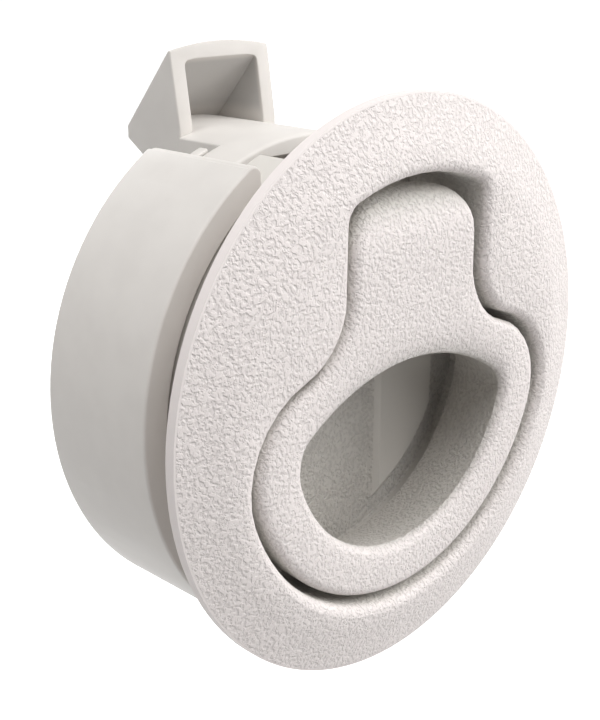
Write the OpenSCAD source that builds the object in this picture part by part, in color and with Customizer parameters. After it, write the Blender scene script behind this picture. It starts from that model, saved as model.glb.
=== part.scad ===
// Push-to-close flush latch for a round hole in a door panel.
// The origin is the centre of the bezel's back face, which seats on the panel.
// +Y runs into the door, -Y faces the user, and the bolt stands up along +Z.

/* [Bezel] */
// Outside diameter of the bezel
bezel_d = 60.5; // [58:0.5:70]
// Thickness of the bezel at its rim
rim_t = 1.1; // [0.8:0.1:2]
// Height of the bezel's flat face in front of the panel
bezel_h = 3; // [2.4:0.1:4]
// Diameter of the bezel's flat face, inside the sloping border
face_d = 47.8; // [46:0.2:52]

/* [Barrel] */
// Outside diameter of the barrel, which passes through the panel
barrel_d = 50.5; // [49.5:0.1:52]
// Depth of the barrel behind the panel face
barrel_len = 11.2; // [11:0.1:13]
// Thickness of the barrel's wall
barrel_wall = 2; // [1.8:0.05:2.6]
// Width of the lever slot in the top of the barrel
slot_w = 16.6; // [14:0.2:18]

/* [Recess] */
// Height of the round lobe's centre above the axis
lobe_z = 0.6; // [0:0.1:1]
// Radius of the shoulders of the recess
shoulder_r = 9.5; // [8:0.5:10.5]
// Angle at which the shoulders leave the round lobe
shoulder_a = -18.5; // [-22:0.5:-12]
// Width of the recess's neck
neck_w = 20.4; // [19.6:0.2:22]
// Radius between the neck and the shoulders
neck_fillet = 7.8; // [6:0.2:9]
// Height of the recess's top edge above the axis
neck_top = 22.65; // [22:0.05:23]
// Radius of the recess's top corners
neck_corner = 2; // [1.5:0.5:4]
// Rounding of the recess's lip
lip_r = 1; // [0.8:0.1:1.5]
// Depth of the ledge behind the handle
ledge_y = 7.4; // [6.5:0.1:8]
// How far the finger cup's wall lies inside the recess
cup_in = 0.75; // [0.5:0.05:1.5]
// Thickness of the wall at the back of the cup
back_wall = 1.6; // [1.2:0.1:2]
// Height of the two smooth pads on the back of the cup
pad_h = 0.8; // [0.4:0.1:1.2]
// Width of the channel between the pads
channel_w = 13; // [11:0.5:15]
// Distance from the axis to the outer edge of each pad
pad_out = 16.7; // [15:0.1:18]

/* [Handle] */
// Gap between the handle's sides and the recess
handle_gap = 0.9; // [0.8:0.05:1.2]
// Gap above the handle's top
top_gap = 1.4; // [1.2:0.05:1.8]
// How far the handle's front lies behind the bezel's face
handle_sink = 0.4; // [0:0.05:0.8]
// Radius of the handle's front edges
edge_r = 1.1; // [0.5:0.1:1.4]
// Radius of the handle's top corners
handle_corner = 5; // [4:0.5:6]
// Taper of the handle's neck and shoulders towards the back
handle_draft = 1.7; // [1.4:0.1:1.9]
// How far the handle's top curves back into the recess
crown_h = 3.4; // [2:0.2:4]
// Radius of the finger hole
hole_r = 16.5; // [15:0.05:17]
// Height of the finger hole's top edge above the axis
hole_top = 3.5; // [2:0.1:5]
// Radius of the finger hole's top edge
hole_top_r = 26; // [20:1:30]
// Radius of the finger hole's corners
hole_corner = 3.5; // [2:0.5:4]
// Rounding of the finger hole's front edge
hole_edge = 1.05; // [0.5:0.05:1.5]
// Reach of the wider rounding above the finger hole's top edge
top_edge = 4; // [2:0.1:5]
// Depth of the wider rounding
top_depth = 1.4; // [1:0.1:2]
// How far the finger hole widens towards the back
hole_flare = 3.35; // [2:0.05:3.6]

/* [Pivot] */
// Diameter of the handle's pin
pin_d = 3; // [2.5:0.1:3.5]
// Depth of the pin behind the panel face
pivot_y = 3; // [2.5:0.1:3.5]
// Height of the pin above the axis
pivot_z = 14; // [13.5:0.1:15]
// Radius of the handle's hub round the pin
hub_r = 4.2; // [3.6:0.1:4.6]
// Angle that the handle swings out
pull_angle = 42; // [30:1:44]
// Length of the lever from the pin to its nose
lever_len = 12.5; // [11.5:0.1:12.8]
// Drop of the lever's nose below the pin
lever_drop = 1.1; // [0:0.1:2]
// Radius of the lever's nose
nose_r = 1.6; // [1.3:0.1:1.9]
// Width of the lever
lever_w = 10; // [7:0.5:11]

/* [Bolt] */
// Width of the bolt's slider
slider_w = 25; // [22:0.5:26]
// Thickness of the slider
slider_t = 7.2; // [7:0.1:8]
// Height of the slider's lower end, below zero under the axis
slider_foot = -2; // [-4:0.5:0]
// Width of each stop at the slider's foot
stop_w = 2; // [1.4:0.1:2.4]
// Width of the bolt's neck and head
head_w = 14.1; // [12:0.1:15.2]
// Height of the neck's underside
bolt_neck_z = 17; // [15:0.5:18]
// Depth of the head's holding face behind the panel face, at its foot
head_y = 25.15; // [24:0.05:30]
// Angle that the holding face leans back
head_lean = 8.8; // [0:0.2:12]
// How far the head stands above the barrel
head_rise = 8.2; // [6:0.1:9]
// Length of the head's wedge from the foot of its holding face
head_len = 9.3; // [8.6:0.1:10]
// Angle of the wedge's ramp
ramp_a = 48; // [44:1:52]
// Thickness of the head's side walls
head_wall = 1.85; // [1.4:0.05:2.6]
// Thickness of the head's top wall and ramp
ramp_wall = 1.5; // [1.2:0.1:2]

/* [Springs] */
// Outside diameter of the bolt springs
spring_d = 4.6; // [4:0.1:5]
// Wire thickness of the bolt springs
spring_wire = 0.7; // [0.5:0.1:0.9]
// Number of turns
spring_turns = 9; // [6:1:12]
// Distance from the axis to each spring
spring_x = 8; // [7:0.5:9]
// Height of the shelf that the springs stand on
shelf_z = -18.6; // [-19:0.1:-17]

/* [Rear cover] */
// Thickness of the rear cover
cover_t = 1.4; // [1.2:0.1:2]
// Width of the cover between its flats
cover_w = 33.4; // [32:0.2:34]
// Width of the notch for the bolt's neck
notch_w = 16.6; // [16:0.2:17.2]
// Diameter of the cover screws
cover_screw_d = 2.2; // [1.8:0.1:2.4]
// Length of the cover screws under the head
cover_screw_l = 7; // [5:0.5:9]

/* [Mounting ring] */
// Thickness of the ring's wall
ring_wall = 2.75; // [2:0.05:3.5]
// Length of the ring
ring_len = 14.8; // [12:0.2:15.5]
// Space for the panel between the bezel and the ring
grip = 5.5; // [3:0.5:6]
// Width of the gap in the top of the ring
ring_gap = 26.8; // [26.4:0.2:30]
// Rounding of the ring's ends
ring_end_r = 1; // [0.6:0.1:1.4]
// How much the ring widens towards the back
ring_draft = 0.3; // [0:0.05:0.5]
// Thickness of the ring's two lugs
lug_t = 1.7; // [1.4:0.1:2.2]
// Distance from the axis to each mounting screw
lug_x = 20.8; // [20.6:0.1:21.2]
// Diameter of the mounting screws
screw_d = 2.9; // [2.5:0.1:3.2]

/* [Clearances] */
// Running clearance round the handle's pin, on the radius
run_c = 0.05; // [0.02:0.01:0.08]
// Sliding clearance round the bolt
slide_c = 0.3; // [0.2:0.05:0.4]
// Clearance between the barrel and the mounting ring, on the radius
ring_c = 0.3; // [0.2:0.05:0.5]
// Clearance round a screw
screw_c = 0.04; // [0.02:0.01:0.08]

/* [Hidden] */
$fn = 96;

shell_colour = [0.88, 0.86, 0.84];
smooth_colour = [0.84, 0.83, 0.81];
steel_colour = [0.72, 0.73, 0.75];

// Overlap that makes cuts run clear of a face
eps = 0.1;

// Points along each stretch of the keyhole outline, on one side
n_lobe = 18;
n_shoulder = 8;
n_fillet = 7;
n_corner = 6;
n_top = 4;
// Steps round a rounded edge
n_edge = 4;
n_lip = 4;

bezel_r = bezel_d / 2;
barrel_r = barrel_d / 2;
face_y = -bezel_h;
lobe_r = barrel_r - barrel_wall;
cup_y = barrel_len - back_wall;
neck_hw = neck_w / 2;
neck_top_r = 25;
wall_draft = 0.4;
// Height of the cup's top edge, and the radius where its pads slope down
cup_top = hole_top + 0.9;
pad_r = 18.6;
// Height of the lever slot's lower edge, and of the top of the well behind the neck
slot_z = neck_top - 2.2;
well_z = neck_top - 3.35;
well_depth = 2;

// Centres of the arcs that make up the keyhole outline
lobe_c = [0, lobe_z];
shoulder_c = lobe_c + (lobe_r - shoulder_r) * [cos(shoulder_a), sin(shoulder_a)];
fillet_x = neck_hw + neck_fillet;
fillet_rise = sqrt(pow(shoulder_r + neck_fillet, 2) - pow(fillet_x - shoulder_c[0], 2));
fillet_c = [fillet_x, shoulder_c[1] + fillet_rise];
join_a = atan2(fillet_rise, fillet_x - shoulder_c[0]);

// The recess and the handle share the outline: inset, corner radius and top
recess_shape = [0, neck_corner, neck_top];
handle_top = neck_top - top_gap;
handle_shape = [handle_gap, handle_corner, handle_top];

// The finger hole
hole_top_c = [0, hole_top - hole_top_r];
hole_in_r = hole_r - hole_corner;
hole_in_top_r = hole_top_r - hole_corner;
hole_corner_z = (pow(hole_in_top_r, 2) - pow(hole_in_r, 2) - pow(hole_top_c[1], 2)) / (-2 * hole_top_c[1]);
hole_corner_c = [sqrt(pow(hole_in_r, 2) - pow(hole_corner_z, 2)), hole_corner_z];
hole_low_a = atan2(hole_corner_c[1], hole_corner_c[0]);
hole_high_a = atan2(hole_corner_c[1] - hole_top_c[1], hole_corner_c[0]);
// Where the top arc is split, so that the rings between the two outlines don't cross
hole_split = 0.75;
hole_mid_a = hole_high_a + (90 - hole_high_a) * hole_split;
// Flare of the hole's top edge, and the heights between which flare, rounding and taper change
top_flare = 1.2;
ease_low = -3;
ease_high = 3;

// The handle's depth
handle_front = face_y + handle_sink;
handle_back = ledge_y - slide_c;
neck_back = 4.2;
neck_back_low = 5;
neck_back_high = 10;
crown_run = 5.5;
crown_z = handle_top - crown_run;

// The lever and the bolt that it presses down
nose_y = pivot_y + lever_len;
nose_z = pivot_z - lever_drop;
bolt_travel = lever_len * sin(pull_angle) - lever_drop * (1 - cos(pull_angle));
lever_play = 0.6;
lever_waist = 1.3;
slider_y = barrel_len + slide_c;
slider_back = slider_y + slider_t;
slider_drop = 0.45;
slider_r = barrel_r - slider_drop;
slider_edge = 0.4;
// The slider's front is set back where it passes behind the slot in the barrel
rebate_y = slider_y + 1.8;
rebate_z = 20.6;
pocket_w = lever_w + 2 * lever_play;
pocket_z = nose_z - nose_r - lever_play;
pocket_top = nose_z + nose_r + bolt_travel + slide_c;
pocket_wall = 1.2;
stop_h = 3;
spring_hole_d = spring_d + 2 * slide_c;
spring_top = 7;
spring_y = slider_y + slider_t / 2;
head_top = barrel_r + head_rise;
head_land = 0.25;
tail_h = 2.1;
// The ramp is arched across its width, and starts behind a narrow land on top
ramp_arch_r = 52;
ramp_y = head_y + (head_top - slider_r) * tan(head_lean) + head_land;
tail_y = head_y + head_len;
tail_z = head_top - (tail_y - ramp_y) * tan(ramp_a);
hollow_corner = 0.6;

// The guide behind the barrel
cover_y = slider_back + slide_c;
guide_hw = slider_w / 2 + slide_c;
cover_edge = 0.2;
rail_hw = cover_w / 2 - cover_edge;
rail_step_z = slider_foot + stop_h + slide_c;
over_travel = 1;
rail_low_z = slider_foot - bolt_travel - over_travel;
shelf_t = 2.6;
peg_h = 2;
peg_c = 0.25;
cover_screw_x = (guide_hw + rail_hw) / 2;
cover_screw_high = 15;
cover_screw_low = -15.4;
cover_drop = 0.25;
cover_r = barrel_r - cover_drop;
cover_screw_places = [
    for (z = [cover_screw_high, cover_screw_low], s = [-1, 1]) [s * cover_screw_x, z]
];

// The mounting ring, its lugs and screws
ring_in_r = barrel_r + ring_c;
ring_out_r = ring_in_r + ring_wall;
ring_end_y = grip + ring_len;
lug_y = ring_end_y - lug_t;
lug_r = 3.7;
boss_r = 3.1;
boss_len = 5;
screw_tip_depth = 0.6;
screw_tip_y = barrel_len - screw_tip_depth;

// The handle's pin and its seats in the walls of the recess
pin_seat = 2.2;
pin_len = neck_w + 2 * pin_seat;
// Clearance of the pin in its seats, on the radius
seat_c = 0.01;

// Builds a flat shape between two depths along Y
module along_y(y0, y1) {
    translate([0, y1, 0])
        rotate([90, 0, 0])
            linear_extrude(y1 - y0)
                children();
}

// Builds a side profile of the given width, centred across X
module along_x(w) {
    rotate([90, 0, 90])
        linear_extrude(w, center = true)
            children();
}

// Turns a profile of radius and depth round the Y axis
module turned() {
    rotate([-90, 0, 0])
        rotate_extrude()
            children();
}

// A box between two corners
module block(low, high) {
    translate(low)
        cube(high - low);
}

// Points on an arc, without its last one
function arc(c, r, a0, a1, n) = [
    for (i = [0 : n - 1])
        let (a = a0 + (a1 - a0) * i / n)
            c + r * [cos(a), sin(a)]
];

// A closed outline from its right half, which runs from bottom to top
function mirrored(half) = concat(
    half,
    [for (i = [len(half) - 2 : -1 : 1]) [-half[i][0], half[i][1]]]
);

// The keyhole outline, moved inwards by a further inset
function keyhole(shape, inset) =
    let (
        d = shape[0] + inset,
        hw = neck_hw - shape[0],
        top_c = [0, shape[2] - neck_top_r],
        in_x = hw - shape[1],
        in_r = neck_top_r - shape[1],
        corner_c = [in_x, top_c[1] + sqrt(in_r * in_r - in_x * in_x)],
        corner_a = atan2(corner_c[1] - top_c[1], in_x)
    )
    mirrored(concat(
        arc(lobe_c, lobe_r - d, -90, shoulder_a, n_lobe),
        arc(shoulder_c, shoulder_r - d, shoulder_a, join_a, n_shoulder),
        arc(fillet_c, neck_fillet + d, join_a + 180, 180, n_fillet),
        arc(corner_c, shape[1] - inset, 0, corner_a, n_corner),
        arc(top_c, neck_top_r - inset, corner_a, 90, n_top),
        [[0, shape[2] - inset]]
    ));

// The finger hole's outline, widened by an outset
function finger_hole(outset) =
    mirrored(concat(
        arc([0, 0], hole_r + outset, -90, hole_low_a, n_lobe),
        arc(hole_corner_c, hole_corner + outset, hole_low_a, hole_high_a, n_shoulder),
        arc(hole_top_c, hole_top_r + outset, hole_high_a, hole_mid_a, n_fillet),
        arc(hole_top_c, hole_top_r + outset, hole_mid_a, 90, n_corner + n_top),
        [[0, hole_top + outset]]
    ));

// Depth of the handle's front, which curves back at the top of the neck
function front_y(z) =
    let (t = min(1, max(0, (z - crown_z) / crown_run)))
    handle_front + crown_h * (1 - sqrt(1 - t * t));

// Depth of the handle's back, which is thinner behind the neck
function back_y(z) =
    let (t = min(1, max(0, (z - neck_back_low) / (neck_back_high - neck_back_low))))
    handle_back + (neck_back - handle_back) * (1 - cos(180 * t)) / 2;

// An outline that changes from one shape to another with its height
function ease(z) = min(1, max(0, (z - ease_low) / (ease_high - ease_low)));
function eased(low, high) = [
    for (i = [0 : len(low) - 1])
        let (t = ease(low[i][1]))
            low[i] * (1 - t) + high[i] * t
];

// The finger hole's front edge at an angle round its rounding, which is wider along the top
function hole_rim(a) =
    let (
        reach = 1 - sin(a),
        rim = eased(finger_hole(hole_edge * reach), finger_hole(top_edge * reach))
    )
    [
        for (p = rim)
            let (depth = hole_edge + (top_depth - hole_edge) * ease(p[1]))
                [p[0], front_y(p[1]) + depth * (1 - cos(a)), p[1]]
    ];

function on_front(outline, dy) = [for (p = outline) [p[0], front_y(p[1]) + dy, p[1]]];
function on_back(outline) = [for (p = outline) [p[0], back_y(p[1]), p[1]]];
function at_depth(outline, y) = [for (p = outline) [p[0], y, p[1]]];
function blend(a, b, t) = [for (i = [0 : len(a) - 1]) a[i] * (1 - t) + b[i] * t];

// Two triangles between each pair of points on neighbouring rings
function strip(i, k, n) = [
    for (j = [0 : n - 1])
        let (m = (j + 1) % n)
            each [[i * n + j, i * n + m, k * n + m], [i * n + j, k * n + m, k * n + j]]
];

// A solid through a row of rings, closed by a flat cap at each end
module loft(rings) {
    n = len(rings[0]);
    last = len(rings) - 1;
    polyhedron(
        points = [for (r = rings) each r],
        faces = concat(
            [for (i = [0 : last - 1]) each strip(i, i + 1, n)],
            [[for (j = [n - 1 : -1 : 0]) j]],
            [[for (j = [0 : n - 1]) last * n + j]]
        )
    );
}

// A solid through a closed loop of rings, such as a frame round a hole
module frame_loft(rings) {
    n = len(rings[0]);
    count = len(rings);
    polyhedron(
        points = [for (r = rings) each r],
        faces = [for (i = [0 : count - 1]) each strip(i, (i + 1) % count, n)]
    );
}

// The keyhole recess with its rounded lip and slightly tapered wall
module recess() {
    run_out = 1;
    run_slope = 0.25;
    loft(concat(
        [at_depth(keyhole(recess_shape, -lip_r - run_out), face_y - run_out * run_slope)],
        [
            for (i = [0 : n_lip])
                let (a = 90 * i / n_lip)
                    at_depth(keyhole(recess_shape, lip_r * (sin(a) - 1)), face_y + lip_r * (1 - cos(a)))
        ],
        [at_depth(keyhole(recess_shape, wall_draft), ledge_y)]
    ));
}

// The finger cup behind the recess, which ends in a ledge under the neck's fillets
module cup() {
    intersection() {
        loft([
            at_depth(keyhole(recess_shape, cup_in), ledge_y - eps),
            at_depth(keyhole(recess_shape, cup_in + wall_draft / 2), cup_y)
        ]);
        block([-barrel_r, ledge_y - 1, -barrel_r], [barrel_r, cup_y + 1, cup_top]);
    }
}

// The space that the handle's neck swings through, and the slots for its lever
module neck_well() {
    well_hw = neck_hw - wall_draft;
    well_y = ledge_y - well_depth;
    lever_c = 0.8;
    swing_a = pull_angle + atan2(lever_drop, lever_len);
    low_front = pivot_z - (cup_y - pivot_y) * tan(swing_a) - (lever_waist + lever_c) / cos(swing_a);
    low_back = low_front - (back_wall + eps) * tan(swing_a);
    block([-well_hw, well_y, neck_fillet], [well_hw, cup_y, well_z]);
    block([-slot_w / 2, well_y, well_z - eps], [slot_w / 2, cup_y, slot_z + eps]);
    block([-slot_w / 2, well_y, slot_z], [slot_w / 2, barrel_len + eps, barrel_r + 1]);
    along_x(lever_w + 2 * lever_c)
        polygon([
            [well_y, neck_fillet],
            [cup_y, low_front],
            [barrel_len + eps, low_back],
            [barrel_len + eps, pivot_z + hub_r],
            [well_y, pivot_z + hub_r]
        ]);
}

// The smooth pads on the back of the cup, one on each side of the channel
module cup_pads() {
    pad_in = channel_w / 2;
    pad_slope = 1.4;
    pad_top = -1;
    intersection() {
        union()
            for (s = [-1, 1])
                translate([0, 0, -barrel_r])
                    linear_extrude(barrel_r + pad_top)
                        polygon([
                            [s * pad_in, cup_y + eps],
                            [s * (pad_in + pad_slope), cup_y - pad_h],
                            [s * pad_out, cup_y - pad_h],
                            [s * pad_out, cup_y + eps]
                        ]);
        turned()
            polygon([
                [0, cup_y - pad_h - eps],
                [pad_r, cup_y - pad_h - eps],
                [pad_r + pad_slope, cup_y + eps],
                [0, cup_y + eps]
            ]);
    }
}

// The rails that guide the bolt, the shelf under its springs and the screw bosses
module guide() {
    intersection() {
        union() {
            along_y(barrel_len - eps, cover_y)
                for (s = [-1, 1])
                    polygon([
                        [s * guide_hw, barrel_r],
                        [s * guide_hw, rail_step_z],
                        [s * (guide_hw + stop_w), rail_step_z],
                        [s * (guide_hw + stop_w), rail_low_z],
                        [s * guide_hw, rail_low_z],
                        [s * guide_hw, shelf_z - shelf_t],
                        [s * rail_hw, shelf_z - shelf_t],
                        [s * rail_hw, barrel_r]
                    ]);
            block([-rail_hw, barrel_len - eps, shelf_z - shelf_t], [rail_hw, cover_y, shelf_z]);
        }
        along_y(barrel_len - 1, cover_y + 1)
            circle(cover_r);
    }
    for (s = [-1, 1]) {
        translate([s * spring_x, spring_y, shelf_z - eps])
            cylinder(h = peg_h + eps, d = spring_d - 2 * spring_wire - 2 * peg_c);
        translate([s * lug_x, 0, 0])
            along_y(barrel_len - eps, barrel_len + boss_len)
                circle(boss_r);
    }
}

module housing() {
    color(shell_colour)
        difference() {
            union() {
                difference() {
                    union() {
                        turned()
                            polygon([
                                [0, 0],
                                [bezel_r, 0],
                                [bezel_r, -rim_t],
                                [face_d / 2, face_y],
                                [0, face_y]
                            ]);
                        along_y(-eps, barrel_len)
                            circle(barrel_r);
                    }
                    recess();
                    cup();
                    neck_well();
                }
                cup_pads();
                guide();
            }
            // The pin is pushed in through the side of the barrel
            translate([-pin_len / 2, pivot_y, pivot_z])
                rotate([0, 90, 0])
                    cylinder(h = barrel_d, d = pin_d);
            for (s = [-1, 1])
                translate([s * lug_x, 0, 0])
                    along_y(screw_tip_y - eps, barrel_len + boss_len + 1)
                        circle(screw_d / 2 + screw_c);
            for (p = cover_screw_places)
                translate([p[0], 0, p[1]])
                    along_y(cover_y - cover_screw_l, cover_y + 1)
                        circle(cover_screw_d / 2 + screw_c);
        }
}

// The handle's ring and neck, as rings that run round the section of the frame
module handle_body() {
    outer_front = keyhole(handle_shape, edge_r);
    hole_front = eased(finger_hole(hole_edge), finger_hole(top_edge));
    front_steps = 10;
    frame_loft(concat(
        [
            for (i = [0 : n_edge])
                let (a = 90 * i / n_edge)
                    on_front(keyhole(handle_shape, edge_r * (1 - sin(a))), edge_r * (1 - cos(a)))
        ],
        [on_back(eased(keyhole(handle_shape, wall_draft), keyhole(handle_shape, handle_draft)))],
        [on_back(eased(finger_hole(hole_flare), finger_hole(top_flare)))],
        [
            for (i = [n_edge : -1 : 0])
                hole_rim(90 * i / n_edge)
        ],
        [
            for (i = [1 : front_steps - 1])
                on_front(blend(hole_front, outer_front, sin(90 * i / front_steps)), 0)
        ]
    ));
}

// The lever that runs back from the hub and presses the bolt down
module lever() {
    root_hw = hub_r - 1;
    along_x(lever_w) {
        polygon([
            [pivot_y, pivot_z + root_hw],
            [nose_y - lever_len / 2, nose_z + lever_waist],
            [nose_y, nose_z + nose_r],
            [nose_y, nose_z - nose_r],
            [nose_y - lever_len / 2, nose_z - lever_waist],
            [pivot_y, pivot_z - root_hw]
        ]);
        translate([nose_y, nose_z])
            circle(nose_r);
    }
}

module pull_handle() {
    hub_w = neck_w - 2 * handle_gap - 2 * handle_draft;
    color(shell_colour)
        difference() {
            union() {
                handle_body();
                translate([0, pivot_y, pivot_z])
                    rotate([0, 90, 0])
                        cylinder(h = hub_w, r = hub_r, center = true);
                lever();
            }
            translate([0, pivot_y, pivot_z])
                rotate([0, 90, 0])
                    cylinder(h = neck_w, r = pin_d / 2 + run_c, center = true);
        }
}

module handle_pin() {
    color(steel_colour)
        translate([0, pivot_y, pivot_z])
            rotate([0, 90, 0])
                cylinder(h = pin_len - 2 * run_c, d = pin_d - 2 * seat_c, center = true);
}

// The slider that runs between the rails, with its stops, lever pocket, spring holes and neck
module bolt_slider() {
    difference() {
        intersection() {
            along_y(slider_y, head_y + eps)
                circle(slider_r);
            union() {
                block([-head_w / 2, slider_y, bolt_neck_z], [head_w / 2, head_y + eps, barrel_r]);
                block([-slider_w / 2, slider_y - 1, slider_foot], [slider_w / 2, slider_back, barrel_r]);
                block(
                    [-slider_w / 2 - stop_w + slide_c, slider_y - 1, slider_foot],
                    [slider_w / 2 + stop_w - slide_c, slider_back, slider_foot + stop_h]
                );
            }
        }
        block(
            [-pocket_w / 2, slider_y - eps, pocket_z],
            [pocket_w / 2, slider_back - pocket_wall, pocket_top]
        );
        for (s = [-1, 1])
            translate([s * spring_x, spring_y, slider_foot - eps])
                cylinder(h = spring_top - slider_foot + eps, d = spring_hole_d);
        block([-slider_w, slider_y - eps, rebate_z], [slider_w, rebate_y, barrel_r]);
        // The rounding of the slider's front top edge
        turned()
            polygon(concat(
                [[slider_r + eps, rebate_y - eps], [slider_r - slider_edge, rebate_y - eps]],
                arc([slider_r - slider_edge, rebate_y + slider_edge], slider_edge, -90, 0, n_edge),
                [[slider_r, rebate_y + slider_edge], [slider_r + eps, rebate_y + slider_edge]]
            ));
    }
}

// The wedge-shaped head, with an arched top and an arched ramp
module wedge() {
    over = 1;
    over_y = head_y + (head_top + over - slider_r) * tan(head_lean);
    intersection() {
        along_x(head_w)
            polygon([
                [head_y, bolt_neck_z],
                [tail_y, tail_z - tail_h],
                [tail_y, head_top + over],
                [over_y, head_top + over],
                [head_y, slider_r]
            ]);
        along_y(head_y - 1, tail_y + 1)
            circle(head_top);
        translate([0, ramp_y - ramp_arch_r * sin(ramp_a), head_top - ramp_arch_r * cos(ramp_a)])
            rotate([90 - ramp_a, 0, 0])
                cylinder(h = ramp_arch_r, r = ramp_arch_r, center = true);
    }
}

// The hollow of the wedge, open towards the panel
module wedge_hollow() {
    hw = head_w / 2 - head_wall;
    top_r = head_top - ramp_wall;
    in_x = hw - hollow_corner;
    in_z = sqrt(pow(top_r - hollow_corner, 2) - in_x * in_x);
    corner_a = atan2(in_z, in_x);
    floor_z = slider_r - 2;
    open_y = head_y - 1;
    open_z = head_top + (ramp_y - open_y) * tan(ramp_a) - ramp_wall / cos(ramp_a);
    intersection() {
        along_x(head_w)
            polygon([
                [open_y, floor_z],
                [open_y + (open_z - floor_z) / tan(ramp_a), floor_z],
                [open_y, open_z]
            ]);
        along_y(open_y - 1, tail_y)
            polygon(mirrored(concat(
                [[0, floor_z], [hw, floor_z]],
                arc([in_x, in_z], hollow_corner, 0, corner_a, n_corner),
                arc([0, 0], top_r, corner_a, 90, n_corner),
                [[0, top_r]]
            )));
    }
}

module latch_bolt() {
    color(smooth_colour)
        union() {
            bolt_slider();
            difference() {
                wedge();
                wedge_hollow();
            }
            // The neck's round top runs on as the floor of the hollow
            intersection() {
                wedge();
                along_y(head_y - eps, tail_y)
                    circle(slider_r);
            }
        }
}

// A round wire wound along Z, as rings along its helix
module coil_spring(h) {
    sides = 6;
    steps = 10;
    coil_r = (spring_d - spring_wire) / 2;
    pitch = (h - spring_wire) / spring_turns;
    loft([
        for (i = [0 : spring_turns * steps])
            let (a = 360 * i / steps)
                [
                    for (j = [0 : sides - 1])
                        let (b = 360 * j / sides, r = coil_r + spring_wire / 2 * cos(b))
                            [
                                r * cos(a),
                                r * sin(a),
                                spring_wire / 2 + pitch * i / steps + spring_wire / 2 * sin(b)
                            ]
                ]
    ]);
}

module bolt_spring(side) {
    color(steel_colour)
        translate([side * spring_x, spring_y, shelf_z + eps / 2])
            coil_spring(spring_top - shelf_z - eps);
}

module rear_cover() {
    color(smooth_colour)
        along_y(cover_y, cover_y + cover_t)
            difference() {
                intersection() {
                    circle(cover_r);
                    square([cover_w, 2 * cover_r], center = true);
                }
                translate([-notch_w / 2, bolt_neck_z - bolt_travel - over_travel])
                    square([notch_w, barrel_d]);
                for (p = cover_screw_places)
                    translate(p)
                        circle(cover_screw_d / 2 + 2 * screw_c);
            }
}

// A pan-head screw with a cross recess, driven towards -Y from its seat
module pan_screw(d, l) {
    head_r = d;
    head_h = 0.7 * d;
    recess_w = 0.3 * d;
    recess_l = 1.2 * d;
    recess_floor = 0.45 * head_h;
    tip = 0.6 * d;
    // Share of the head's radius that is flat on top, and share of its height that is straight
    flat = 0.45;
    rim = 0.4;
    difference() {
        turned()
            polygon(concat(
                [[0, -l], [d / 2, tip - l], [d / 2, 0], [head_r, 0]],
                [
                    for (a = [0 : 15 : 90])
                        [head_r * (flat + (1 - flat) * cos(a)), head_h * (rim + (1 - rim) * sin(a))]
                ],
                [[0, head_h]]
            ));
        for (a = [0, 90])
            rotate([0, a, 0])
                block(
                    [-recess_l / 2, recess_floor, -recess_w / 2],
                    [recess_l / 2, head_h + 1, recess_w / 2]
                );
    }
}

module cover_screw(i) {
    p = cover_screw_places[i - 1];
    color(steel_colour)
        translate([p[0], cover_y + cover_t, p[1]])
            pan_screw(cover_screw_d, cover_screw_l + cover_t - 2 * eps);
}

// The C-shaped ring, with two lugs for the mounting screws
module mounting_ring() {
    gap_hw = ring_gap / 2;
    color(smooth_colour)
        difference() {
            union() {
                difference() {
                    rotate([-90, 0, 0])
                        translate([0, 0, grip])
                            cylinder(h = ring_len, r1 = ring_out_r, r2 = ring_out_r + ring_draft);
                    along_y(grip - eps, ring_end_y + eps)
                        circle(ring_in_r);
                }
                for (s = [-1, 1])
                    along_y(lug_y, ring_end_y)
                        translate([s * lug_x, 0]) {
                            circle(lug_r);
                            translate([s * (ring_in_r + 1 - lug_x) / 2, 0])
                                square([ring_in_r + 1 - lug_x, 2 * lug_r], center = true);
                        }
            }
            block([-gap_hw, grip - 1, 0], [gap_hw, ring_end_y + 1, ring_out_r + 1]);
            for (s = [-1, 1])
                along_y(grip - 1, ring_end_y + 1)
                    ring_end_cut(s);
            for (s = [-1, 1])
                translate([s * lug_x, 0, 0])
                    along_y(lug_y - 1, ring_end_y + 1)
                        circle(screw_d / 2 + 3 * screw_c);
        }
}

// The sliver outside the rounding between the ring's end and its outer face
module ring_end_cut(s) {
    end_x = ring_gap / 2;
    cx = end_x + ring_end_r;
    cz = sqrt(pow(ring_out_r - ring_end_r, 2) - cx * cx);
    a = atan2(cz, cx);
    out = 2;
    difference() {
        polygon([
            [s * cx, cz],
            [s * (end_x - eps), cz],
            [s * (end_x - eps), ring_out_r + out],
            [s * (ring_out_r + out) * cos(a), (ring_out_r + out) * sin(a)]
        ]);
        translate([s * cx, cz])
            circle(ring_end_r);
    }
}

module mounting_screw(side) {
    color(steel_colour)
        translate([side * lug_x, ring_end_y, 0])
            pan_screw(screw_d, ring_end_y - screw_tip_y);
}

housing();
pull_handle();
handle_pin();
latch_bolt();
bolt_spring(-1);  // bolt_spring_left
bolt_spring(1);  // bolt_spring_right
rear_cover();
for (i = [1 : 4])
    cover_screw(i);
mounting_ring();
mounting_screw(-1);  // mounting_screw_left
mounting_screw(1);  // mounting_screw_right
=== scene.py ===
"""Looks of the push-to-close latch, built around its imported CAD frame."""

import math

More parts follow.
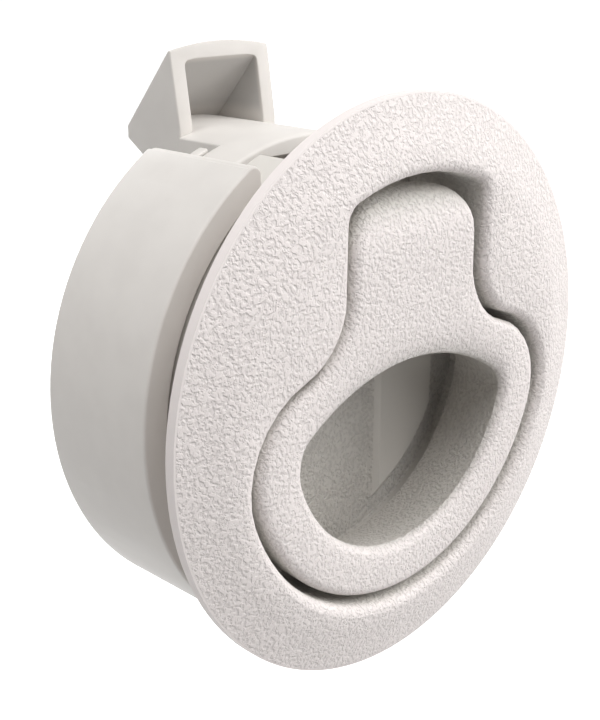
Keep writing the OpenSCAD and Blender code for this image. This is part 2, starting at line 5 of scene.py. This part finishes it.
import bpy
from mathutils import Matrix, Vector


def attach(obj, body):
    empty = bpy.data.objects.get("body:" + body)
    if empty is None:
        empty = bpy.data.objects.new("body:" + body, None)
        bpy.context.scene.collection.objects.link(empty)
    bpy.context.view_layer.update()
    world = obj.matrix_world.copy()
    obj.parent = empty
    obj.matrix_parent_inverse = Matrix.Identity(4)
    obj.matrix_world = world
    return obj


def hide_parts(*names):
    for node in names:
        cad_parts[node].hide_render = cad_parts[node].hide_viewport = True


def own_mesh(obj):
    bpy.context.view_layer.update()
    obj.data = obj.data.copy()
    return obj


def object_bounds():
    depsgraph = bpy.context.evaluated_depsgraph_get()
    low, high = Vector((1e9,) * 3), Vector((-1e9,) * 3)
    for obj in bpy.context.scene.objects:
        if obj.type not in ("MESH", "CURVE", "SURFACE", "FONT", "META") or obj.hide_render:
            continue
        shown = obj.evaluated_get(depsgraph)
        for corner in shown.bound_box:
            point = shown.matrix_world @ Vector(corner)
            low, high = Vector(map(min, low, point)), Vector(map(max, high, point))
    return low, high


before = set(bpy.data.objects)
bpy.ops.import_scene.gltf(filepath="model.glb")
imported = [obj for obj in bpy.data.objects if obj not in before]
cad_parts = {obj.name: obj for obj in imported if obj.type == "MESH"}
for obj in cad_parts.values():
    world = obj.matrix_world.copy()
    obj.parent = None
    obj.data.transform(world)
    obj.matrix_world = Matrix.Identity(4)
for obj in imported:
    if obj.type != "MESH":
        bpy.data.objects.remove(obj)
cad_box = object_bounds()

MM = 0.001
WHITE = (1, 1, 1, 1)
# Finer layers in a noise that doesn't say otherwise
NOISE_DETAIL = 2.0

# The camera, solved from the round bezel in the photograph
CAMERA_AT = Vector((-85.38, -71.79, 43.13)) * MM
CAMERA_AZIMUTH = -44.85
CAMERA_ELEVATION = 19.77
CAMERA_LENS = 57.63
CAMERA_NEAR = 1 * MM
CAMERA_FAR = 20

# The room
FLOOR_DROP = 60 * MM
FLOOR_SIZE = 6.0
FLOOR_COLOURS = ((0.5, 0.5, 0.5), (0.52, 0.52, 0.52))
FLOOR_CLOUD_SCALE = 3.0
FLOOR_ROUGHNESS = 0.9
FLOOR_GLOW = 0.93
WORLD_LIGHT = 0.06
LAMP_DISTANCE = 0.7
LAMP_SIZE = 0.5
# Name, azimuth, elevation and power of each lamp
LAMPS = (
    ("key", 5, 66, 2.2), ("front", 0, 45, 1.85), ("right", 60, 20, 3.3), ("above", -100, 60, 2.0),
    ("left", -118, 25, 0.75), ("back", 172, 15, 1.9),
)

# The grained plastic: flat-topped lumps and a finer skin, turned so that the noise's lattice doesn't show
GRAIN_TURN = (0.6, 0.45, 0.7)
LUMP_SCALE = 2500.0
LUMP_WARP = 0.25
LUMP_EDGE = (0.34, 0.6)
FINE_SCALE = 6500.0
FINE_SHARE = 0.3
GRAIN_HEIGHT = 0.085 * MM
GRAIN_ROUGHNESS = 0.6
# Each pair goes from the colour in the wrinkles to the colour on the lumps; the wrinkles' darker colour is
# painted shade in the grain's creases
FRONT_COLOURS = ((0.705, 0.653, 0.635), (0.768, 0.711, 0.692))
DEEP_SHADE_COLOURS = ((0.53, 0.505, 0.473), (0.615, 0.588, 0.55))

# Where the housing is grained: in front of the rim, and inside the barrel except on the cup's smooth pads
GRAIN_FRONT = -1.16 * MM
GRAIN_RADIUS = 24.4 * MM
GRAIN_BACK = 10.4 * MM
PAD_DEPTH = 8.8 * MM
PAD_BAND = 0.45 * MM
PAD_EDGE = 16.75 * MM

# Between these depths the mouldings turn from the warm white of the front to a greyer tone, painted shade
# for the recesses and the cup behind the front, which starts farther back outside the barrel
HOUSING_DEEP = (-2.95 * MM, -1.5 * MM)
HANDLE_DEEP = (-2.5 * MM, -1.2 * MM)
DEEP_LAG = 3.2 * MM

# The smooth plastic, with a faint cloud in its colour and roughness
CLOUD_SCALE = 260.0
CLOUD_RANGE = (0.3, 0.7)
SKIN_SCALE = 5200.0
SKIN_STRENGTH = 0.06
SKIN_HEIGHT = 0.04 * MM
SMOOTH_COLOURS = ((0.655, 0.625, 0.593), (0.68, 0.65, 0.617))
SMOOTH_ROUGHNESS = (0.40, 0.46)
SMOOTH_SPECULAR = 0.25

# The bolt's hollow, between its front plane, its sloping back and its floor, has a greyer tone too, a
# painted shade
HOLLOW_SHADE_COLOUR = (0.52, 0.507, 0.49)
HOLLOW_HALF = 5.3 * MM
HOLLOW_TOP = 31 * MM
HOLLOW_FRONT_WAY = (0, 0.988, -0.153)
HOLLOW_FRONT = (21.1 * MM, 21.7 * MM)
HOLLOW_BACK_WAY = (0, 0.74, 0.67)
HOLLOW_BACK = 41.4 * MM
HOLLOW_FLOOR = (24.9 * MM, 26.5 * MM)

# The steels, with brushed streaks along Y: dark colour, bright colour and roughness
STEEL = ((0.55, 0.55, 0.56), (0.68, 0.68, 0.69), 0.3)
SPRING_STEEL = ((0.42, 0.42, 0.44), (0.56, 0.56, 0.58), 0.34)
STREAK_SCALE = (3000.0, 600.0, 3000.0)
STREAK_DETAIL = 3.0
STREAK_RANGE = (0.3, 0.7)
STREAK_ROUGHNESS = 0.06
STEEL_NODES = (
    "handle_pin", "cover_screw_1", "cover_screw_2", "cover_screw_3", "cover_screw_4",
    "mounting_screw_left", "mounting_screw_right",
)

# Edges sharper than this angle are rounded, or stay sharp on a piece that isn't rounded
SHARP_ANGLE = math.radians(32)
# Facets that meet at less than this angle become one before the rounding
FLAT_ANGLE = math.radians(0.4)
# Points closer than this are joined
WELD_REACH = 0.002 * MM
# How wide the edges of each rounded piece are, and in how many steps they turn
BOLT_EDGE = 0.18 * MM
RING_EDGE = 0.3 * MM
COVER_EDGE = 0.25 * MM
EDGE_STEPS = 6
# The bolt's ridge is narrow and the hollow below it is shallow, so their edges take a share of the rounding
RIDGE_FOOT = 32.65 * MM
RIDGE_SHARE = 0.6

# The springs between the shelf and the bolt
SPRING_X = 8 * MM
SPRING_Y = 15.1 * MM
SPRING_LOW = -18.55 * MM
SPRING_HIGH = 6.95 * MM
SPRING_COIL = 1.95 * MM
SPRING_WIRE = 0.35 * MM
SPRING_TURNS = 9
SPRING_STEPS = 24
SPRING_SIDES = 10


def toward(azimuth, elevation):
    """Unit vector from the object to a place at this azimuth and elevation, in degrees."""
    a = math.radians(azimuth)
    e = math.radians(elevation)
    return Vector((math.sin(a) * math.cos(e), -math.cos(a) * math.cos(e), math.sin(e)))


def look_back(obj, back):
    """Turns a camera or lamp so that it looks against the given vector."""
    obj.rotation_mode = "QUATERNION"
    obj.rotation_quaternion = (-back).to_track_quat("-Z", "Y")


def add_camera():
    data = bpy.data.cameras.new("camera")
    data.lens = CAMERA_LENS
    data.clip_start = CAMERA_NEAR
    data.clip_end = CAMERA_FAR
    camera = bpy.data.objects.new("camera", data)
    bpy.context.scene.collection.objects.link(camera)
    camera.location = CAMERA_AT
    look_back(camera, toward(CAMERA_AZIMUTH, CAMERA_ELEVATION))
    bpy.context.scene.camera = camera


def add_lamp(name, azimuth, elevation, power):
    data = bpy.data.lights.new(name, "AREA")
    data.shape = "DISK"
    data.size = LAMP_SIZE
    data.energy = power
    lamp = bpy.data.objects.new(name, data)
    bpy.context.scene.collection.objects.link(lamp)
    back = toward(azimuth, elevation)
    lamp.location = back * LAMP_DISTANCE
    look_back(lamp, back)


def add_node(tree, kind, values=(), **settings):
    """A node with its settings made and its sockets set or linked."""
    item = tree.nodes.new(kind)
    for name, value in settings.items():
        setattr(item, name, value)
    for name, value in dict(values).items():
        if isinstance(value, bpy.types.NodeSocket):
            tree.links.new(value, item.inputs[name])
        else:
            item.inputs[name].default_value = value
    return item


def maths(tree, operation, a, b=0.0):
    return add_node(tree, "ShaderNodeMath", {0: a, 1: b}, operation=operation).outputs[0]


def both(tree, a, b):
    """The product of two shares, which is one only where both are."""
    return maths(tree, "MULTIPLY", a, b)


def rest_of(tree, share):
    return maths(tree, "SUBTRACT", 1.0, share)


def within(tree, value, limit):
    """One where a value lies between a limit and its opposite, and zero elsewhere."""
    return maths(tree, "LESS_THAN", maths(tree, "ABSOLUTE", value), limit)


def split_place(tree, place):
    """The X, Y and Z of a place."""
    return add_node(tree, "ShaderNodeSeparateXYZ", {0: place}).outputs


def along(tree, place, way):
    """How far a place lies along a direction."""
    product = add_node(tree, "ShaderNodeVectorMath", {0: place, 1: way}, operation="DOT_PRODUCT")
    return product.outputs["Value"]


def remap(tree, value, low, high, to_low=0.0, to_high=1.0):
    """A value moved smoothly from one range to another."""
    values = {"Value": value, "From Min": low, "From Max": high, "To Min": to_low, "To Max": to_high}
    return add_node(tree, "ShaderNodeMapRange", values, interpolation_type="SMOOTHSTEP").outputs[0]


def noise(tree, place, scale, detail=NOISE_DETAIL, distortion=0.0):
    values = {"Vector": place, "Scale": scale, "Detail": detail, "Distortion": distortion}
    return add_node(tree, "ShaderNodeTexNoise", values).outputs[0]


def mix_colour(tree, share, a, b):
    item = add_node(tree, "ShaderNodeMix", data_type="RGBA", values={0: share})
    for socket, value in ((item.inputs[6], a), (item.inputs[7], b)):
        if isinstance(value, bpy.types.NodeSocket):
            tree.links.new(value, socket)
        else:
            socket.default_value = (*value, 1)
    return item.outputs[2]


def new_material(name):
    material = bpy.data.materials.new(name)
    material.use_nodes = True
    tree = material.node_tree
    place = add_node(tree, "ShaderNodeTexCoord").outputs["Object"]
    return material, tree, tree.nodes["Principled BSDF"], place


def connect(tree, shader, **sockets):
    for name, value in sockets.items():
        tree.links.new(value, shader.inputs[name.replace("_", " ").title()])


def in_barrel(tree, split):
    """One inside the barrel's radius and zero outside it."""
    squares = maths(tree, "ADD", maths(tree, "POWER", split[0], 2.0), maths(tree, "POWER", split[2], 2.0))
    return maths(tree, "LESS_THAN", maths(tree, "SQRT", squares), GRAIN_RADIUS)


def grain_area(tree, split):
    """One where the housing is grained and zero where it is smooth."""
    front = maths(tree, "LESS_THAN", split[1], GRAIN_FRONT)
    inside = both(tree, in_barrel(tree, split), maths(tree, "LESS_THAN", split[1], GRAIN_BACK))
    pad = within(tree, maths(tree, "SUBTRACT", split[1], PAD_DEPTH), PAD_BAND)
    pad = both(tree, pad, within(tree, split[0], PAD_EDGE))
    return both(tree, maths(tree, "MAXIMUM", front, inside), rest_of(tree, pad))


def grained_plastic(name, deep, masked):
    """Warm white plastic with a leathery grain: flat-topped lumps with thin wrinkles between them. The
    wrinkles are darker in colour, a painted shade, and the colour turns to a greyer painted shade towards
    the back.
    """
    material, tree, shader, place = new_material(name)
    turned = add_node(tree, "ShaderNodeMapping", {"Vector": place, "Rotation": GRAIN_TURN}).outputs[0]
    lumps = remap(tree, noise(tree, turned, LUMP_SCALE, distortion=LUMP_WARP), *LUMP_EDGE)
    fine = noise(tree, turned, FINE_SCALE)
    height = maths(tree, "ADD", lumps, maths(tree, "MULTIPLY", fine, FINE_SHARE))
    shade = lumps
    split = split_place(tree, place)
    depth = split[1]
    if masked:
        area = grain_area(tree, split)
        outside = rest_of(tree, in_barrel(tree, split))
        depth = maths(tree, "SUBTRACT", depth, maths(tree, "MULTIPLY", outside, DEEP_LAG))
        height = maths(tree, "MULTIPLY", height, area)
        shade = maths(tree, "MAXIMUM", shade, rest_of(tree, area))
    bump = add_node(tree, "ShaderNodeBump", {"Strength": 1.0, "Distance": GRAIN_HEIGHT, "Height": height})
    # The darker colour in the wrinkles is painted shade
    front_colour = mix_colour(tree, shade, *FRONT_COLOURS)
    deep_shade_colour = mix_colour(tree, shade, *DEEP_SHADE_COLOURS)
    # Towards the back the colour turns to the deep one, a painted shade for the recesses and the cup
    colour = mix_colour(tree, remap(tree, depth, *deep), front_colour, deep_shade_colour)
    connect(tree, shader, base_color=colour, normal=bump.outputs[0])
    shader.inputs["Roughness"].default_value = GRAIN_ROUGHNESS
    return material


def hollow_area(tree, place):
    """One on the walls of the bolt's hollow, where its painted shade goes, and zero elsewhere."""
    split = split_place(tree, place)
    behind_front = remap(tree, along(tree, place, HOLLOW_FRONT_WAY), *HOLLOW_FRONT)
    before_back = maths(tree, "LESS_THAN", along(tree, place, HOLLOW_BACK_WAY), HOLLOW_BACK)
    above_floor = remap(tree, split[2], *HOLLOW_FLOOR)
    area = both(tree, within(tree, split[0], HOLLOW_HALF), behind_front)
    return both(tree, both(tree, area, before_back), above_floor)


def smooth_plastic(name, hollow):
    """Warm white plastic with a satin skin and a very faint unevenness."""
    material, tree, shader, place = new_material(name)
    cloud = noise(tree, place, CLOUD_SCALE)
    colour = mix_colour(tree, remap(tree, cloud, *CLOUD_RANGE), *SMOOTH_COLOURS)
    # On the bolt the hollow's walls take a greyer colour, a painted shade
    if hollow:
        colour = mix_colour(tree, hollow_area(tree, place), colour, HOLLOW_SHADE_COLOUR)
    skin = noise(tree, place, SKIN_SCALE)
    values = {"Strength": SKIN_STRENGTH, "Distance": SKIN_HEIGHT, "Height": skin}
    bump = add_node(tree, "ShaderNodeBump", values)
    roughness = remap(tree, cloud, *CLOUD_RANGE, *SMOOTH_ROUGHNESS)
    connect(tree, shader, base_color=colour, normal=bump.outputs[0], roughness=roughness)
    shader.inputs["Specular IOR Level"].default_value = SMOOTH_SPECULAR
    return material


def metal(name, dark, bright, rough):
    """Bright steel with faint brushed streaks."""
    material, tree, shader, place = new_material(name)
    stretched = add_node(tree, "ShaderNodeMapping", {"Vector": place, "Scale": STREAK_SCALE}).outputs[0]
    streak = noise(tree, stretched, 1.0, STREAK_DETAIL)
    roughness = remap(tree, streak, *STREAK_RANGE, rough - STREAK_ROUGHNESS, rough + STREAK_ROUGHNESS)
    connect(tree, shader, base_color=mix_colour(tree, streak, dark, bright), roughness=roughness)
    shader.inputs["Metallic"].default_value = 1.0
    return material


def seen_rays(tree):
    """One where a surface is looked at or mirrored, and zero where it only gives light."""
    path = add_node(tree, "ShaderNodeLightPath").outputs
    seen = maths(tree, "MAXIMUM", path["Is Camera Ray"], path["Is Glossy Ray"])
    return maths(tree, "MAXIMUM", seen, path["Is Transmission Ray"])


def add_world():
    """Faint light from all round, and plain white wherever it is looked at or mirrored."""
    world = bpy.data.worlds.new("studio")
    bpy.context.scene.world = world
    world.use_nodes = True
    tree = world.node_tree
    strength = maths(tree, "ADD", maths(tree, "MULTIPLY", seen_rays(tree), 1.0 - WORLD_LIGHT), WORLD_LIGHT)
    background = tree.nodes["Background"]
    background.inputs["Color"].default_value = WHITE
    tree.links.new(strength, background.inputs["Strength"])


def add_floor():
    """A pale floor that looks white, also in a mirror, and still takes a faint shadow."""
    bpy.ops.mesh.primitive_plane_add(size=FLOOR_SIZE)
    floor = bpy.context.object
    floor.name = "floor"
    floor.location = (0, 0, cad_box[0].z - FLOOR_DROP)
    material, tree, shader, place = new_material("floor_paint")
    colour = mix_colour(tree, noise(tree, place, FLOOR_CLOUD_SCALE), *FLOOR_COLOURS)
    glow = maths(tree, "MULTIPLY", seen_rays(tree), FLOOR_GLOW)
    connect(tree, shader, base_color=colour, emission_strength=glow)
    shader.inputs["Roughness"].default_value = FLOOR_ROUGHNESS
    shader.inputs["Emission Color"].default_value = WHITE
    floor.data.materials.append(material)


def new_group(name):
    """A modifier's nodes, still empty between the geometry that comes in and the one that goes out."""
    group = bpy.data.node_groups.new(name, "GeometryNodeTree")
    for way in ("INPUT", "OUTPUT"):
        group.interface.new_socket("Geometry", in_out=way, socket_type="NodeSocketGeometry")
    return group, add_node(group, "NodeGroupInput").outputs[0]


def smooth_group():
    """A modifier's nodes that shade a faceted solid smoothly between its sharp edges."""
    group, solid = new_group("smooth_facets")
    angle = add_node(group, "GeometryNodeInputMeshEdgeAngle").outputs["Unsigned Angle"]
    sharp = maths(group, "GREATER_THAN", angle, SHARP_ANGLE)
    values = {"Mesh": solid, "Remove Custom": True, "Edge Sharpness": sharp, "Face Sharpness": False}
    shaded = add_node(group, "GeometryNodeSetMeshNormal", values, mode="SHARPNESS").outputs[0]
    add_node(group, "NodeGroupOutput", {"Geometry": shaded})
    return group


def edge_group():
    """A modifier's nodes that mark how much each outer edge of a solid is rounded."""
    group, solid = new_group("mark_edges")
    angle = add_node(group, "GeometryNodeInputMeshEdgeAngle").outputs["Signed Angle"]
    split = split_place(group, add_node(group, "GeometryNodeInputPosition").outputs[0])
    hollow = within(group, split[0], HOLLOW_HALF)
    hollow = both(group, hollow, maths(group, "GREATER_THAN", split[2], HOLLOW_TOP))
    narrow = maths(group, "MAXIMUM", hollow, maths(group, "GREATER_THAN", split[2], RIDGE_FOOT))
    share = rest_of(group, maths(group, "MULTIPLY", narrow, 1.0 - RIDGE_SHARE))
    share = both(group, share, maths(group, "GREATER_THAN", angle, SHARP_ANGLE))
    values = {"Geometry": solid, "Name": "bevel_weight_edge", "Value": share}
    settings = {"data_type": "FLOAT", "domain": "EDGE"}
    marked = add_node(group, "GeometryNodeStoreNamedAttribute", values, **settings).outputs[0]
    add_node(group, "NodeGroupOutput", {"Geometry": marked})
    return group


def weld_facets(node):
    weld = node.modifiers.new("weld", "WELD")
    weld.merge_threshold = WELD_REACH


def smooth_facets(node, group):
    """Shades the facets of a CAD node's round surfaces smoothly."""
    weld_facets(node)
    node.modifiers.new("smooth", "NODES").node_group = group


def soften(node, width, edges, group):
    """Rounds a CAD node's sharp outer edges with modifiers alone."""
    weld_facets(node)
    flat = node.modifiers.new("flat", "DECIMATE")
    flat.decimate_type = "DISSOLVE"
    flat.angle_limit = FLAT_ANGLE
    node.modifiers.new("marks", "NODES").node_group = edges
    bevel = node.modifiers.new("edges", "BEVEL")
    bevel.width = width
    bevel.segments = EDGE_STEPS
    bevel.use_clamp_overlap = False
    bevel.limit_method = "WEIGHT"
    node.modifiers.new("smooth", "NODES").node_group = group


def coil_mesh(name, x):
    """A round wire wound in a coil, with flat ends."""
    count = SPRING_TURNS * SPRING_STEPS
    low = SPRING_LOW + SPRING_WIRE
    rise = (SPRING_HIGH - SPRING_LOW - 2 * SPRING_WIRE) / count
    sides = SPRING_SIDES
    points = []
    for i in range(count + 1):
        a = 2 * math.pi * i / SPRING_STEPS
        for j in range(sides):
            b = 2 * math.pi * j / sides
            r = SPRING_COIL + SPRING_WIRE * math.cos(b)
            z = low + rise * i + SPRING_WIRE * math.sin(b)
            points.append((x + r * math.cos(a), SPRING_Y + r * math.sin(a), z))
    faces = []
    for i in range(count):
        for j in range(sides):
            k = (j + 1) % sides
            faces.append((i * sides + j, (i + 1) * sides + j, (i + 1) * sides + k, i * sides + k))
    faces.append(tuple(range(sides)))
    faces.append(tuple(count * sides + j for j in reversed(range(sides))))
    mesh = bpy.data.meshes.new(name)
    mesh.from_pydata(points, [], faces)
    mesh.shade_smooth()
    return mesh


def add_spring(name, x, material):
    """A finer coil than the CAD spring, which it takes the place of."""
    mesh = coil_mesh(name, x)
    mesh.materials.append(material)
    spring = bpy.data.objects.new(name, mesh)
    bpy.context.scene.collection.objects.link(spring)
    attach(spring, "body")
    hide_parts(name.replace("coil", "bolt_spring"))
    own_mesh(spring)


def paint(name, material):
    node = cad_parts[name]
    node.data.materials.clear()
    node.data.materials.append(material)


add_camera()
add_world()
add_floor()
for lamp in LAMPS:
    add_lamp(*lamp)

smooth = smooth_plastic("smooth_plastic", False)
bolt_plastic = smooth_plastic("bolt_plastic", True)
steel = metal("steel", *STEEL)
spring_steel = metal("spring_steel", *SPRING_STEEL)
smooth_nodes = smooth_group()
edge_nodes = edge_group()
for part, deep, masked in (("housing", HOUSING_DEEP, True), ("pull_handle", HANDLE_DEEP, False)):
    paint(part, grained_plastic("grained_" + part, deep, masked))
    smooth_facets(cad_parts[part], smooth_nodes)
for part, width, plastic in (
    ("latch_bolt", BOLT_EDGE, bolt_plastic),
    ("mounting_ring", RING_EDGE, smooth),
    ("rear_cover", COVER_EDGE, smooth),
):
    paint(part, plastic)
    soften(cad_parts[part], width, edge_nodes, smooth_nodes)
for part in STEEL_NODES:
    paint(part, steel)
for part in ("bolt_spring_left", "bolt_spring_right"):
    paint(part, spring_steel)
add_spring("coil_left", -SPRING_X, spring_steel)
add_spring("coil_right", SPRING_X, spring_steel)

bpy.context.scene.view_settings.view_transform = "Standard"
